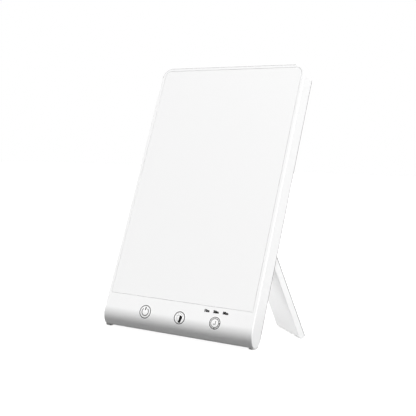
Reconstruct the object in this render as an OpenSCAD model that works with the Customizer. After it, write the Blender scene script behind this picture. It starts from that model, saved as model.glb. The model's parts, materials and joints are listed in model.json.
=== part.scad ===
// Light therapy lamp: a slim edge-lit panel that leans back on one fold-out leg.
// Millimetres. Every piece is drawn in the frame of the panel (x to the viewer's right, y from the
// front face to the back, z up along the panel) and then leaned back as the lamp stands.

/* [Housing] */
// Width of the housing
body_w = 152; // [146:1:165]
// Height of the housing along its front face
body_h = 255; // [235:1:290]
// Depth from the front face to the back face; the lower edge is a full round of this depth
body_d = 18; // [17:0.5:21]
// Thickness of the side and top walls
side_wall = 2; // [1.6:0.1:2.4]
// Thickness of the front wall, the rounded lower edge and its return at the back
front_wall = 1.6; // [1.4:0.1:2]
// Radius of the two upper corners seen from the front
corner_r = 10; // [7:0.5:13]
// Width of the rim beside the light field
side_rim = 3.2; // [2.8:0.1:4.5]
// Width of the rim above the light field
top_rim = 3; // [2.6:0.1:4.5]
// Height of the plain strip below the light field
chin_h = 28; // [27:0.5:34]
// Radius of the upper corners of the light field
field_r = 6; // [4:0.5:8]
// Height of the return wall that closes the rounded edge at the back
return_h = 12; // [11:0.5:13]

/* [Light stack] */
// How far the raised face of the diffuser lies behind the front face
field_inset = 0.4; // [0.2:0.1:0.8]
// Thickness of the diffuser's rim
diffuser_rim_t = 1.4; // [1:0.1:1.8]
// Thickness of the diffusion film
film_t = 0.3; // [0.2:0.05:0.5]
// Thickness of the light guide
guide_t = 4; // [3.5:0.1:4.4]
// Thickness of the reflector sheet
reflector_t = 0.3; // [0.2:0.05:0.5]
// Thickness of the metal back plate and its shelf
plate_t = 1; // [0.8:0.1:1.2]
// Gap between the stack and the walls around it
stack_gap = 0.3; // [0.2:0.05:0.6]
// How far the light guide reaches below the light field
guide_overlap = 1; // [0.8:0.1:1.5]

/* [Light bar] */
// Thickness of the circuit bar that carries the lights
bar_t = 1; // [0.8:0.1:1.2]
// Number of lights along the bar
led_count = 28; // [20:1:34]
// Length of one light along the bar
led_l = 3.5; // [2.8:0.1:3.5]
// Width of one light across the bar
led_w = 2.8; // [2:0.1:3]
// Height of one light
led_h = 0.8; // [0.6:0.1:1]
// Air gap between the lights and the edge of the light guide
led_gap = 0.3; // [0.1:0.05:0.5]

/* [Controls] */
// Distance from the control board's left end to the middle of the power key
key_left = 20; // [17:0.5:22]
// Distance from the control board's right end to the middle of the timer key
key_right = 11; // [9:0.5:14]
// Height of the keys above the lower edge
key_z = 14.5; // [13.5:0.5:15.5]
// Radius of the contact pad behind a key
pad_r = 4.5; // [3.5:0.5:5]
// Distance between neighbouring timer lights
timer_pitch = 9.1; // [8:0.1:9.3]
// Gap between the front wall and the control board
board_gap = 3; // [2.6:0.1:3.2]
// Thickness of the control board
board_t = 1.6; // [1.2:0.1:1.6]
// Gap between the control board's ends and the screw posts beside it
board_side_gap = 2; // [1:0.5:3]
// Height of the control board
board_h = 17; // [16:0.5:17]

/* [Power inlet] */
// Radius of the inlet's mouth, for a 5.5 mm barrel plug
inlet_r = 2.9; // [2.8:0.05:3]
// Length of the inlet's mouth
inlet_mouth = 3; // [2.5:0.5:4]
// Length of the inlet's body
inlet_l = 14; // [13:0.5:14]
// Width of the inlet's body, front to back
inlet_w = 9; // [8.5:0.5:9.5]
// Height of the inlet's body
inlet_h = 11; // [10.5:0.5:11]
// Radius of the inlet's centre pin
inlet_pin_r = 1.05; // [0.8:0.05:1.25]

/* [Back cover] */
// Thickness of the back cover
cover_t = 2; // [1.8:0.1:2.2]
// Gap between the back cover and the walls around it
cover_gap = 0.25; // [0.15:0.05:0.4]
// Distance from the side walls to the spacers
spacer_side = 12; // [9:0.5:15]
// Height of the lower pair of spacers
spacer_low_z = 62; // [55:1:66]
// Distance of the upper pair of spacers from the top
spacer_top = 20; // [17:1:24]
// Number of vent slots in one column
vent_rows = 5; // [3:1:7]
// Length of a vent slot
vent_l = 30; // [20:1:32]
// Height of a vent slot
vent_h = 1.8; // [1.2:0.1:2.4]

/* [Leg] */
// Width of the leg
leg_w = 51; // [46:1:56]
// Thickness of the leg
leg_t = 4.8; // [4.4:0.1:5.4]
// Distance from the housing's side to the closed leg's side
leg_side = 1; // [0.5:0.5:3]
// Height of the hinge's lower end above the housing's lower edge
hinge_z = 75; // [68:1:85]
// Angle by which the leg opens
open_angle = 60; // [52:1:66]
// Gap between the closed leg and the back cover
leg_gap = 0.2; // [0.2:0.05:0.5]
// Radius of the hinge pin
pin_r = 1; // [0.9:0.05:1.2]
// Running clearance between the hinge pin and the leg
pin_clear = 0.05; // [0.03:0.01:0.08]
// Width of a hinge ear along the pin
ear_w = 5.5; // [5:0.5:7]
// Distance from the leg's corner to the first ear, along the hinge
ear_start = 8; // [8:0.5:10]
// Thickness of the leg's cover plate
leg_cover_t = 1.5; // [1.2:0.1:1.6]
// Width of the leg's edge around its cover plate
leg_edge = 2; // [1.6:0.1:3]

/* [Feet] */
// Length of a front foot along the rounded edge
foot_w = 7; // [5:0.5:10]
// How far a front foot stands out of the rounded edge
foot_proud = 0.9; // [0.6:0.1:1.4]
// Depth of a front foot's seat in the rounded edge
foot_sink = 0.8; // [0.5:0.1:1]
// Half the angle that a front foot covers around the rounded edge
foot_half_angle = 28; // [20:1:34]
// How far the leg's rubber strip stands out of the leg
strip_proud = 0.4; // [0.3:0.1:0.6]
// How much of each foot is cut flat where it stands
foot_flat = 0.2; // [0.15:0.05:0.3]

/* [Hidden] */
$fn = 96;
cut = 1;                  // how far a cutting shape runs past the face it cuts
seat_gap = 0.05;          // gap under a piece that is glued or pressed into its seat
screw_gap = 0.05;         // gap between a screw and the wall of its hole

// Housing
half_w = body_w / 2;
nose_r = body_d / 2;
cavity_half_w = half_w - side_wall;
cavity_top = body_h - side_wall;
cavity_r = corner_r - side_wall;
field_half_w = half_w - side_rim;
field_top = body_h - top_rim;

// Light stack, front to back
film_y = front_wall + diffuser_rim_t;
guide_y = film_y + film_t;
reflector_y = guide_y + guide_t;
plate_y = reflector_y + reflector_t;
plate_back = plate_y + plate_t;
sheet_gap = 1.4;          // gap between the walls and the sheets behind the diffuser
sheet_half_w = cavity_half_w - sheet_gap;
sheet_top = cavity_top - 1;
sheet_r = cavity_r - 1;
guide_low = chin_h - guide_overlap;

// Light bar, which stands on the back plate's shelf
led_top = guide_low - led_gap;
bar_z = led_top - led_h - bar_t;
shelf_z = bar_z - plate_t;
bar_half_l = sheet_half_w - 3;
led_pitch = (2 * bar_half_l - 2 * led_l) / (led_count - 1);

// Power inlet, in the left side wall below the back plate's tab
tab_z = shelf_z - 2.3;
tab_low = tab_z - 2.3;
inlet_y = nose_r;
inlet_z = tab_low - 0.3 - inlet_h / 2;
inlet_back_x = -cavity_half_w + inlet_l;
inlet_chamber_r = inlet_r + 0.5;
inlet_wall = 2;
inlet_tail = 0.6;         // how far the centre pin stands out behind the inlet
wire_r = 0.5;

// Posts for the two cover screws in the chin, one beside the inlet and one opposite
boss_r = 3;
boss_x = -inlet_back_x - 1 - boss_r;
boss_z = inlet_z + 4;
bosses = [[-boss_x, boss_z], [boss_x, boss_z]];

// Control board, below the shelf
board_y = front_wall + board_gap;
board_back = board_y + board_t;
board_top = shelf_z - 0.3;
board_low = board_top - board_h;
board_half = boss_x - boss_r - board_side_gap;
board_w = 2 * board_half;
post_r = 2.2;
post_low_z = board_low + 3.4;
post_top_z = board_top - 3.6;
post_side_x = board_half - 3.5;
key_mid_x = (key_left - key_right) / 2;
key_pitch = (board_w - key_left - key_right) / 2;
key_xs = [for (i = [-1:1]) key_mid_x + i * key_pitch];
board_posts = [[-post_side_x, post_low_z], [post_side_x, post_low_z],
               [key_mid_x - key_pitch / 2, post_top_z], [key_mid_x + key_pitch / 2, post_top_z]];
timer_xs = [for (i = [-1:1]) key_xs[2] - 0.6 + i * timer_pitch];
timer_z = board_top - 1.2;
timer_light = [1.6, 0.8, 1];
timer_window = [5.2, 2.8];
timer_skin = 0.7;         // front wall left in front of a timer light

// Parts on the back of the board: width, depth and height
power_plug = [6, 3.8, 6];
light_plug = [6.2, 3, 5.4];
chip = [7, 1.2, 7];
can_r = 3.15;
can_l = 7.5;
coil_flange_r = 4.5;
coil_r = 3.4;
coil_flange_t = 1;
coil_l = 3;
power_plug_x = 7 - board_half;
light_plug_x = 2.8 - board_half;
light_plug_z = board_top - 2.6 - light_plug[2];
light_leads_x = [for (i = [0:1]) light_plug_x + 1.8 + i * 2.6];
light_lead_y = board_back + wire_r + 0.1;
notch_gap = 0.2;

// Screws: head radius, head height, shank radius
small_screw = [1.9, 1.4, 0.95];
leg_screw = [1.6, 0.9, 0.8];
cover_screw = [2.5, 1.3, 1.2];
screw_end = 0.4;          // room left in front of a screw's end

// Back plate tabs, which are screwed to posts in the chin
tab_x = cavity_half_w - 10.5;
tab_half_w = 4;

// Back cover
cover_y = body_d - cover_t;
cover_low = return_h + cover_gap;
cover_top = cavity_top - cover_gap;
cover_half_w = cavity_half_w - cover_gap;
cover_r = cavity_r - cover_gap;
spacer_top_z = body_h - spacer_top;
spacer_r = 2.8;
spacer_stub_r = 1.8;
spacer_x = cavity_half_w - spacer_side;
spacers = [for (x = [-spacer_x, spacer_x], z = [spacer_low_z, spacer_top_z]) [x, z]];
rib_h = 1.6;
rib_w = 1.2;
vent_top = body_h - 24;
vent_pitch = 4.4;
vent_x = vent_l / 2 + 4;

// Stance: the leaned angle at which the leg's lower edge lies level
tilt = atan(tan(open_angle / 2) / sqrt(2));
foot_drop = nose_r + foot_proud;
foot_outer_r = foot_drop + foot_flat;
ground_h = nose_r * (cos(tilt) - sin(tilt)) - foot_drop;

// Leg, drawn closed against the back and then swung open about a hinge line that runs
// down to the right at 45 degrees
leg_front = body_d + leg_gap;
hinge_y = leg_front + leg_t / 2;
leg_back = leg_front + leg_t;
leg_x1 = half_w - leg_side;
leg_x0 = leg_x1 - leg_w;
hinge_p = [leg_x1, hinge_y, hinge_z];
strip_drop = leg_t / 2 - foot_flat;
strip_z = (ground_h + strip_drop + hinge_y * sin(tilt)) / cos(tilt);
leg_end_z = strip_z + strip_proud;
axis_h = hinge_y - body_d;
hinge_l = leg_w * sqrt(2);
ear_gap = 0.5;
ear_r = axis_h;
ear_base = 4;
barrel_s0 = ear_start + ear_w + ear_gap;
barrel_s1 = hinge_l - barrel_s0;
ears_s = [ear_start, hinge_l - ear_start - ear_w];
washer_t = 0.3;
stop_gap = 0.1;
leg_trim = 1.2;
notch_depth = 5;
pocket_inset = 9;
hinge_plate_t = 1.2;
hinge_plate_half = 4.5;
hinge_screw = [1.8, 1.2, 0.85];

// Place of the origin: the middle of the standing lamp's footprint
leg_reach_x = leg_x1 + (hinge_z - leg_end_z) * (1 - cos(open_angle)) / 2
            + leg_t / 2 * sqrt(pow((1 - cos(open_angle)) / 2, 2) + pow(sin(open_angle), 2) / 2);
origin_x = (leg_reach_x - half_w) / 2;
front_reach = nose_r * (cos(tilt) + sin(tilt)) - nose_r;
back_reach = body_h * sin(tilt) + body_d * cos(tilt);
origin_y = (front_reach + back_reach) / 2;

white_plastic = "#f4f4f4";
opal = "#f7f7f5";
clear_acrylic = "#e6eef0";
metal = "#c4c8cc";
dark_metal = "#8a8d90";
board_green = "#2f6b45";
rubber_grey = "#9a9a9a";
black_part = "#2a2a2c";
copper = "#b87333";

// ---- Helpers ----

// Leans the whole lamp back and puts its footprint's middle at the origin
module lean() {
    translate([-origin_x, -origin_y, -ground_h]) rotate([-tilt, 0, 0]) children();
}

// Turns a leg that is drawn closed into its open place
module swing() {
    translate(hinge_p) rotate(a = open_angle, v = [1, 0, -1]) translate(-hinge_p) children();
}

// Frame of the closed hinge: x up-left along the pin from the leg's corner, y back, z down the leg
module at_hinge() {
    translate(hinge_p) rotate([0, -135, 0]) children();
}

// Extrudes an (x, z) outline from y0 to y1
module slab(y0, y1) {
    translate([0, y1, 0]) rotate([90, 0, 0]) linear_extrude(y1 - y0) children();
}

// Extrudes a (y, z) outline from x0 to x1
module bar_x(x0, x1) {
    translate([x0, 0, 0]) rotate([90, 0, 90]) linear_extrude(x1 - x0) children();
}

// Outline with two rounded upper corners
module arch(half, z0, z1, r) {
    translate([-half, z0]) square([2 * half, z1 - r - z0]);
    translate([r - half, z1 - r]) square([2 * (half - r), r]);
    for (side = [-1, 1]) translate([side * (half - r), z1 - r]) circle(r);
}

// Side profile with a fully rounded lower edge, held in from the outside by inset
module nose_profile(inset, z1) {
    translate([nose_r, nose_r]) circle(nose_r - inset);
    translate([inset, nose_r]) square([body_d - 2 * inset, z1 - nose_r]);
}

// Cylinder along y at (x, z)
module pin_y(x, z, y0, y1, r) {
    translate([x, y1, z]) rotate([90, 0, 0]) cylinder(r = r, h = y1 - y0);
}

// Cylinder along x at (y, z)
module pin_x(y, z, x0, x1, r) {
    translate([x0, y, z]) rotate([0, 90, 0]) cylinder(r = r, h = x1 - x0);
}

// Cylinder along the hinge line from s0 to s1
module pin_s(s0, s1, r) {
    translate([s0, 0, 0]) rotate([0, 90, 0]) cylinder(r = r, h = s1 - s0);
}

// Extrudes a (z, y) outline of the hinge's frame from s0 to s1
module along_hinge(s0, s1) {
    translate([s1, 0, 0]) rotate([0, -90, 0]) linear_extrude(s1 - s0) children();
}

// Screw along y with a flat head at y_head that runs forward for length l
module flat_screw(x, z, y_head, size, l) {
    pin_y(x, z, y_head, y_head + size[1], size[0]);
    pin_y(x, z, y_head - l, y_head, size[2]);
}

// Cone of a countersunk head whose wide face lies at y_back
module head_cone(x, z, y_back, size, grow) {
    translate([x, y_back, z]) rotate([90, 0, 0])
        cylinder(r1 = size[0] + grow, r2 = size[2] + grow, h = size[1]);
}

// Sector of a front foot around the rounded edge, between two radii
module foot_sector(x0, x1, r_in, r_out, half_angle) {
    reach = 2 * r_out;
    translate([0, nose_r, nose_r]) intersection() {
        difference() {
            pin_x(0, 0, x0, x1, r_out);
            pin_x(0, 0, x0 - cut, x1 + cut, r_in);
        }
        rotate([tilt, 0, 0]) bar_x(x0 - cut, x1 + cut)
            polygon([[0, 0], [-reach * tan(half_angle), -reach], [reach * tan(half_angle), -reach]]);
    }
}

// Outline of the closed leg in (x, z), held in by edge, with its mitred top held back by top_edge
module leg_outline(edge, top_edge) {
    drop = top_edge * sqrt(2);
    polygon([[leg_x0 + edge, leg_end_z + edge], [leg_x1 - edge, leg_end_z + edge],
             [leg_x1 - edge, hinge_z + edge - drop], [leg_x0 + edge, hinge_z + leg_w - edge - drop]]);
}

// ---- Housing ----

module front_frame() {
    color(white_plastic) lean() difference() {
        union() {
            difference() {
                intersection() {
                    slab(0, body_d) arch(half_w, 0, body_h, corner_r);
                    bar_x(-half_w, half_w) nose_profile(0, body_h);
                }
                intersection() {
                    slab(front_wall, body_d + cut) arch(cavity_half_w, 0, cavity_top, cavity_r);
                    bar_x(-half_w, half_w) union() {
                        nose_profile(front_wall, cavity_top + cut);
                        translate([front_wall, return_h]) square([body_d, body_h]);
                    }
                }
                slab(-cut, front_wall + cut) arch(field_half_w, chin_h, field_top, field_r);
            }
            for (p = board_posts) pin_y(p[0], p[1], front_wall / 2, board_y, post_r);
            for (side = [-1, 1]) pin_y(side * tab_x, tab_z, front_wall / 2, plate_y, post_r);
            for (p = bosses) pin_y(p[0], p[1], front_wall / 2, cover_y, boss_r);
        }
        for (p = board_posts) pin_y(p[0], p[1], front_wall, board_y + cut, small_screw[2] + screw_gap);
        for (side = [-1, 1])
            pin_y(side * tab_x, tab_z, front_wall, plate_y + cut, small_screw[2] + screw_gap);
        for (p = bosses)
            pin_y(p[0], p[1], plate_back, cover_y + cut, cover_screw[2] + screw_gap);
        // Thin windows behind the timer labels
        for (x = timer_xs) translate([x - timer_window[0] / 2, timer_skin, timer_z - timer_window[1] / 2])
            cube([timer_window[0], front_wall, timer_window[1]]);
        // Hole in the left side wall in front of the inlet
        pin_x(inlet_y, inlet_z, -half_w - cut, -cavity_half_w + cut, inlet_chamber_r);
        for (side = [-1, 1])
            foot_sector(side > 0 ? half_w - foot_w - seat_gap : -half_w - cut,
                        side > 0 ? half_w + cut : -half_w + foot_w + seat_gap,
                        nose_r - foot_sink, foot_outer_r + cut, foot_half_angle + 0.5);
    }
}

module diffuser_panel() {
    color(opal) lean() union() {
        slab(field_inset, front_wall + diffuser_rim_t)
            arch(field_half_w - stack_gap / 2, chin_h + stack_gap / 2, field_top - stack_gap / 2,
                 field_r - stack_gap / 2);
        slab(front_wall, film_y)
            arch(cavity_half_w - stack_gap, shelf_z + plate_t, cavity_top - stack_gap,
                 cavity_r - stack_gap);
    }
}

module diffusion_film() {
    color(opal) lean() slab(film_y, guide_y) arch(sheet_half_w, guide_low, sheet_top, sheet_r);
}

module light_guide() {
    color(clear_acrylic) lean() slab(guide_y, reflector_y) arch(sheet_half_w, guide_low, sheet_top, sheet_r);
}

module reflector_sheet() {
    color("white") lean() slab(reflector_y, plate_y) arch(sheet_half_w, guide_low, sheet_top, sheet_r);
}

module back_plate() {
    notch_w = light_leads_x[1] - light_leads_x[0] + 2 * (wire_r + notch_gap);
    color(metal) lean() difference() {
        union() {
            slab(plate_y, plate_back) arch(sheet_half_w, shelf_z, sheet_top, sheet_r);
            translate([-bar_half_l, guide_y, shelf_z]) cube([2 * bar_half_l, plate_back - guide_y, plate_t]);
            for (side = [-1, 1])
                translate([side * tab_x - tab_half_w, plate_y, tab_low])
                    cube([2 * tab_half_w, plate_t, shelf_z - tab_low + plate_t / 2]);
        }
        for (side = [-1, 1])
            pin_y(side * tab_x, tab_z, plate_y - cut, plate_back + cut, small_screw[2] + screw_gap);
        for (p = spacers) pin_y(p[0], p[1], plate_y - cut, plate_back + cut, spacer_stub_r + seat_gap);
        // Notch in the shelf for the lead of the light bar
        translate([light_leads_x[0] - wire_r - notch_gap, light_lead_y - wire_r - notch_gap, shelf_z - cut])
            cube([notch_w, 2 * (wire_r + notch_gap), plate_t + 2 * cut]);
    }
}

module plate_screws() {
    color(dark_metal) lean() for (side = [-1, 1])
        flat_screw(side * tab_x, tab_z, plate_back, small_screw, plate_back - front_wall - screw_end);
}

module led_bar() {
    color("whitesmoke") lean() translate([-bar_half_l, guide_y, bar_z]) cube([2 * bar_half_l, guide_t, bar_t]);
}

module led_packages() {
    color("gold") lean() for (i = [0:led_count - 1])
        translate([-bar_half_l + led_l / 2 + i * led_pitch, guide_y + (guide_t - led_w) / 2, bar_z + bar_t])
            cube([led_l, led_w, led_h]);
}

module led_lead() {
    plug_top = light_plug_z + light_plug[2];
    color("firebrick") lean() for (x = light_leads_x)
        translate([x, light_lead_y, plug_top]) cylinder(r = wire_r, h = bar_z - plug_top);
}

module control_board() {
    color(board_green) lean() difference() {
        translate([-board_w / 2, board_y, board_low]) cube([board_w, board_t, board_h]);
        for (p = board_posts)
            pin_y(p[0], p[1], board_y - cut, board_back + cut, small_screw[2] + screw_gap);
    }
}

module control_chip() {
    color(black_part) lean()
        translate([key_mid_x + key_pitch / 2 - chip[0] / 2, board_back, board_low + 2.4]) cube(chip);
}

module driver_inductor() {
    x = key_xs[0] + 7;
    coil_y = board_back + coil_flange_t;
    color(copper) lean() union() {
        pin_y(x, key_z, board_back, coil_y, coil_flange_r);
        pin_y(x, key_z, coil_y, coil_y + coil_l, coil_r);
        pin_y(x, key_z, coil_y + coil_l, coil_y + coil_l + coil_flange_t, coil_flange_r);
    }
}

module capacitors() {
    color(dark_metal) lean() for (i = [0:1])
        pin_y(key_mid_x + i * (2 * can_r + 1.4) - can_r, board_low + can_r + 2,
              board_back, board_back + can_l, can_r);
}

module board_connectors() {
    color("ivory") lean() {
        translate([power_plug_x, board_back, board_low + 2]) cube(power_plug);
        translate([light_plug_x, board_back, light_plug_z]) cube(light_plug);
    }
}

module board_screws() {
    color(dark_metal) lean() for (p = board_posts)
        flat_screw(p[0], p[1], board_back, small_screw, board_back - front_wall - screw_end);
}

module touch_pads() {
    color(black_part) lean() for (x = key_xs) difference() {
        pin_y(x, key_z, front_wall, board_y, pad_r);
        pin_y(x, key_z, front_wall - cut, board_y + cut, pad_r / 2);
    }
}

module timer_lights() {
    color("gold") lean() for (x = timer_xs)
        translate([x - timer_light[0] / 2, board_y - timer_light[1], timer_z - timer_light[2] / 2])
            cube(timer_light);
}

module dc_inlet() {
    color(black_part) lean() difference() {
        translate([-cavity_half_w, inlet_y - inlet_w / 2, inlet_z - inlet_h / 2])
            cube([inlet_l, inlet_w, inlet_h]);
        pin_x(inlet_y, inlet_z, -cavity_half_w - cut, -cavity_half_w + inlet_mouth + cut, inlet_r);
        pin_x(inlet_y, inlet_z, -cavity_half_w + inlet_mouth, inlet_back_x - inlet_wall, inlet_chamber_r);
        pin_x(inlet_y, inlet_z, inlet_back_x - inlet_wall - cut, inlet_back_x + cut, inlet_pin_r + seat_gap);
    }
}

module inlet_pin() {
    color(metal) lean()
        pin_x(inlet_y, inlet_z, -cavity_half_w + inlet_mouth + 1.5, inlet_back_x + inlet_tail, inlet_pin_r);
}

module inlet_lead() {
    sleeve_z = inlet_z - inlet_chamber_r;
    color("firebrick") lean() {
        pin_x(inlet_y, inlet_z, inlet_back_x + inlet_tail, power_plug_x, wire_r);
        pin_x(inlet_y, sleeve_z, inlet_back_x, power_plug_x, wire_r);
    }
}

module cover_spacers() {
    color(metal) lean() for (p = spacers) difference() {
        union() {
            pin_y(p[0], p[1], plate_back, cover_y, spacer_r);
            pin_y(p[0], p[1], plate_y, plate_back + cut, spacer_stub_r);
        }
        pin_y(p[0], p[1], plate_back, cover_y + cut, cover_screw[2] + screw_gap);
    }
}

module back_cover() {
    ribs_x = [-half_w / 2, 0];
    ribs_z = [spacer_low_z + (spacer_top_z - spacer_low_z) * 0.46, spacer_top_z - spacer_side * 3];
    color(white_plastic) lean() difference() {
        union() {
            slab(cover_y, body_d) arch(cover_half_w, cover_low, cover_top, cover_r);
            for (x = ribs_x)
                translate([x - rib_w / 2, cover_y - rib_h, return_h + 14])
                    cube([rib_w, rib_h + cover_t / 2, body_h - 38 - return_h]);
            for (z = ribs_z)
                translate([4 - cover_half_w, cover_y - rib_h, z - rib_w / 2])
                    cube([2 * cover_half_w - 8, rib_h + cover_t / 2, rib_w]);
            // Two ears that carry the hinge pin
            at_hinge() for (s = ears_s) along_hinge(s, s + ear_w) {
                circle(ear_r);
                polygon([[-ear_base, -axis_h - cover_t / 2], [ear_base, -axis_h - cover_t / 2],
                         [ear_base, -axis_h], [ear_r, 0], [-ear_r, 0], [-ear_base, -axis_h]]);
            }
        }
        for (p = concat(spacers, bosses)) {
            pin_y(p[0], p[1], cover_y - cut, body_d, cover_screw[2] + 2 * screw_gap);
            head_cone(p[0], p[1], body_d + 0.001, cover_screw, 2 * screw_gap);
        }
        for (row = [0:vent_rows - 1], side = [-1, 1])
            slab(cover_y - cut, body_d + cut) translate([side * vent_x, vent_top - row * vent_pitch]) {
                square([vent_l - vent_h, vent_h], center = true);
                for (end = [-1, 1]) translate([end * (vent_l - vent_h) / 2, 0]) circle(vent_h / 2);
            }
        at_hinge() {
            pin_s(ear_start - cut, hinge_l - ear_start + cut, pin_r + seat_gap / 2);
            for (s = ears_s) translate([s + ear_w / 2, -pin_r - 0.5, 0]) rotate([90, 0, 0])
                cylinder(r = hinge_screw[2] + screw_gap, h = axis_h + cover_t);
        }
    }
}

module cover_screws() {
    color(dark_metal) lean() for (p = concat(spacers, bosses)) {
        head_cone(p[0], p[1], body_d, cover_screw, 0);
        pin_y(p[0], p[1], plate_back + screw_end, body_d - cover_screw[1], cover_screw[2]);
    }
}

module front_feet() {
    color(rubber_grey) lean() for (side = [-1, 1]) difference() {
        foot_sector(side > 0 ? half_w - foot_w : -half_w + 0.4, side > 0 ? half_w - 0.4 : -half_w + foot_w,
                    nose_r - foot_sink + seat_gap, foot_outer_r, foot_half_angle);
        // Flat that stands on the table
        translate([0, nose_r, nose_r]) rotate([tilt, 0, 0])
            translate([-body_w, -body_d, -foot_drop - body_d]) cube([2 * body_w, 2 * body_d, body_d]);
    }
}

// ---- Hinge ----

module hinge_plate() {
    color(metal) lean() at_hinge() difference() {
        translate([ear_start, -axis_h - cover_t - hinge_plate_t, -hinge_plate_half])
            cube([hinge_l - 2 * ear_start, hinge_plate_t, 2 * hinge_plate_half]);
        for (s = ears_s) translate([s + ear_w / 2, 0, 0]) rotate([90, 0, 0])
            cylinder(r = hinge_screw[2] + screw_gap, h = body_d);
    }
}

module hinge_screws() {
    under = -axis_h - cover_t - hinge_plate_t;
    color(dark_metal) lean() at_hinge() for (s = ears_s) translate([s + ear_w / 2, 0, 0]) {
        translate([0, under, 0]) rotate([90, 0, 0]) cylinder(r = hinge_screw[0], h = hinge_screw[1]);
        translate([0, -pin_r - 0.6, 0]) rotate([90, 0, 0])
            cylinder(r = hinge_screw[2], h = -pin_r - 0.6 - under);
    }
}

module hinge_pin() {
    color(metal) lean() at_hinge() pin_s(ear_start + 0.2, hinge_l - ear_start - 0.2, pin_r);
}

module hinge_washers() {
    starts = [barrel_s0 - ear_gap, barrel_s1 + ear_gap - washer_t];
    color(dark_metal) lean() at_hinge() for (s = starts) difference() {
        pin_s(s, s + washer_t, axis_h - 0.4);
        pin_s(s - cut, s + washer_t + cut, pin_r + seat_gap);
    }
}

// ---- Leg ----

module leg_shell() {
    stop_y = axis_h - stop_gap;
    heel_back = (stop_y + leg_t / 2 * cos(open_angle)) / sin(open_angle);
    heel_mid = stop_y / sin(open_angle);
    color(white_plastic) lean() swing() difference() {
        union() {
            slab(leg_front, leg_back) leg_outline(0, leg_trim);
            pin_x(hinge_y, leg_end_z, leg_x0, leg_x1, leg_t / 2);
            at_hinge() along_hinge(barrel_s0, barrel_s1) {
                circle(leg_t / 2);
                // Heel that lands flat on the back cover when the leg is open
                polygon([[leg_trim + cut, -leg_t / 2], [leg_trim + cut, leg_t / 2], [-heel_back, leg_t / 2],
                         [-heel_mid, 0], [0, 0], [0, -leg_t / 2]]);
            }
        }
        at_hinge() {
            pin_s(barrel_s0 - cut, barrel_s1 + cut, pin_r + pin_clear);
            for (s = ears_s) translate([s - ear_gap, -leg_t, -notch_depth])
                cube([ear_w + 2 * ear_gap, 2 * leg_t, 2 * notch_depth]);
        }
        // Seat of the cover plate, and the hollows under it
        slab(leg_back - leg_cover_t, leg_back + cut) leg_outline(leg_edge, pocket_inset);
        difference() {
            slab(leg_front + 1.4, leg_back) leg_outline(leg_edge + 3, pocket_inset + 4);
            translate([leg_x0, 0, hinge_z - 24]) cube([leg_w, 2 * body_d, 3]);
            translate([(leg_x0 + leg_x1) / 2 - 1.5, 0, 0]) cube([3, 2 * body_d, body_h]);
            for (p = leg_screw_places()) pin_y(p[0], p[1], leg_front, leg_back, 3);
        }
        for (p = leg_screw_places())
            pin_y(p[0], p[1], leg_front + 0.8, leg_back, leg_screw[2] + screw_gap);
        // Seat of the rubber strip along the lower edge
        translate([leg_x0 + leg_edge, leg_front - cut, leg_end_z - leg_t]) cube(
            [leg_w - 2 * leg_edge, leg_t + 2 * cut, leg_t - strip_proud]);
        translate([leg_x0 + leg_edge, hinge_y - 0.8 - seat_gap, strip_z - cut])
            cube([leg_w - 2 * leg_edge, 1.6 + 2 * seat_gap, 2 + cut + seat_gap]);
    }
}

// Places of the screws that hold the leg's cover plate
function leg_screw_places() =
    let (inset = leg_edge + 4.2)
    [[leg_x0 + inset, leg_end_z + inset], [leg_x1 - inset, leg_end_z + inset],
     [leg_x1 - inset, hinge_z - pocket_inset * sqrt(2) - 3],
     [leg_x0 + inset, hinge_z + leg_w - pocket_inset * sqrt(2) - 13]];

module leg_cover() {
    color(white_plastic) lean() swing() difference() {
        slab(leg_back - leg_cover_t, leg_back) leg_outline(leg_edge + 0.15, pocket_inset + 0.1);
        for (p = leg_screw_places()) {
            pin_y(p[0], p[1], leg_front, leg_back, leg_screw[2] + 2 * screw_gap);
            head_cone(p[0], p[1], leg_back + 0.001, leg_screw, 2 * screw_gap);
        }
    }
}

module leg_screws() {
    color(dark_metal) lean() swing() for (p = leg_screw_places()) {
        head_cone(p[0], p[1], leg_back, leg_screw, 0);
        pin_y(p[0], p[1], leg_front + 1.2, leg_back - leg_screw[1], leg_screw[2]);
    }
}

module leg_foot() {
    x0 = leg_x0 + leg_edge + 0.1;
    x1 = leg_x1 - leg_edge - 0.1;
    color(white_plastic) lean() swing() difference() {
        union() {
            intersection() {
                pin_x(hinge_y, strip_z, x0, x1, leg_t / 2);
                translate([x0, leg_front, strip_z - leg_t]) cube([x1 - x0, leg_t, leg_t - seat_gap]);
            }
            translate([x0, hinge_y - 0.8, strip_z - 1]) cube([x1 - x0, 1.6, 3]);
        }
        // Flat that stands on the table
        translate([0, hinge_y, strip_z]) rotate([-tilt, 0, 0])
            translate([0, -body_d, -strip_drop - body_d]) cube([body_w, 2 * body_d, body_d]);
    }
}

front_frame();
diffuser_panel();
diffusion_film();
light_guide();
reflector_sheet();
back_plate();
plate_screws();
led_bar();
led_packages();
led_lead();
control_board();
control_chip();
driver_inductor();
capacitors();
board_connectors();
board_screws();
touch_pads();
timer_lights();
dc_inlet();
inlet_pin();
inlet_lead();
cover_spacers();
back_cover();
cover_screws();
front_feet();
hinge_plate();
hinge_screws();
hinge_pin();
hinge_washers();
leg_shell();
leg_cover();
leg_screws();
leg_foot();
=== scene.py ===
"""Visual model of the light therapy lamp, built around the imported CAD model.

Pieces are drawn in the frame of the panel, in millimetres: x to the viewer's right, y from the
front face to the back, z up along the panel. A matrix then leans them back, or swings them out with
the leg.
"""

import json
import logging
import math
from dataclasses import dataclass
from enum import Enum
from typing import Callable, ClassVar, Iterable

import bmesh
import bpy
from bmesh.types import BMesh, BMEdge, BMFace, BMVert
from mathutils import Matrix, Vector

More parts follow.
